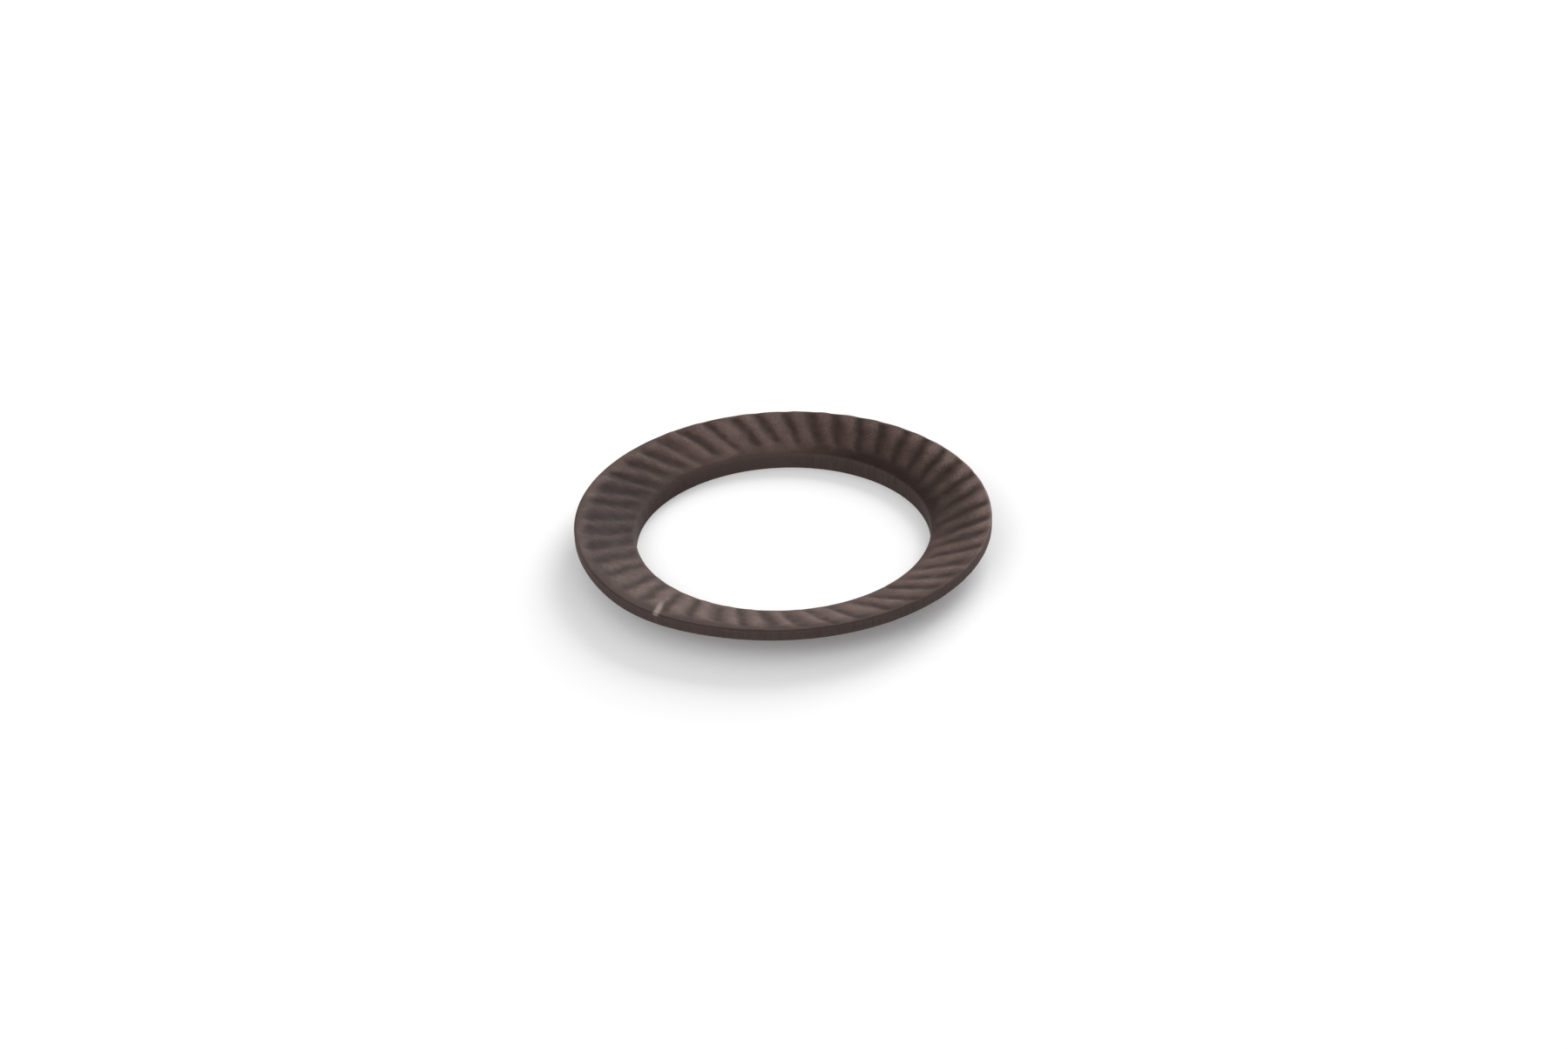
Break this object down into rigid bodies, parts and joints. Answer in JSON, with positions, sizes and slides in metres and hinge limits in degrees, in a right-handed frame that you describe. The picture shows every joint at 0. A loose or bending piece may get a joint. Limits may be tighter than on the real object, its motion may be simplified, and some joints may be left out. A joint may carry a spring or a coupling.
{
  "type": "serrated lock washer",
  "caption": "Dished steel lock washer with a round bore and slanted ribs stamped into both faces, lying with its rim up.",
  "frame": {"origin": "on the bore's axis, in the plane of the bore's lower edge, which the washer rests on", "axes": "+Z along the bore's axis, up through the dished side; +Y away from the viewer; +X to the right"},
  "size_m": [0.024, 0.024, 0.0021],
  "materials": {
    "phosphated_steel": "brown phosphate coat, matt to satin"
  },
  "bodies": {
    "root": {"washer": "phosphated_steel"}
  },
  "joints": []
}
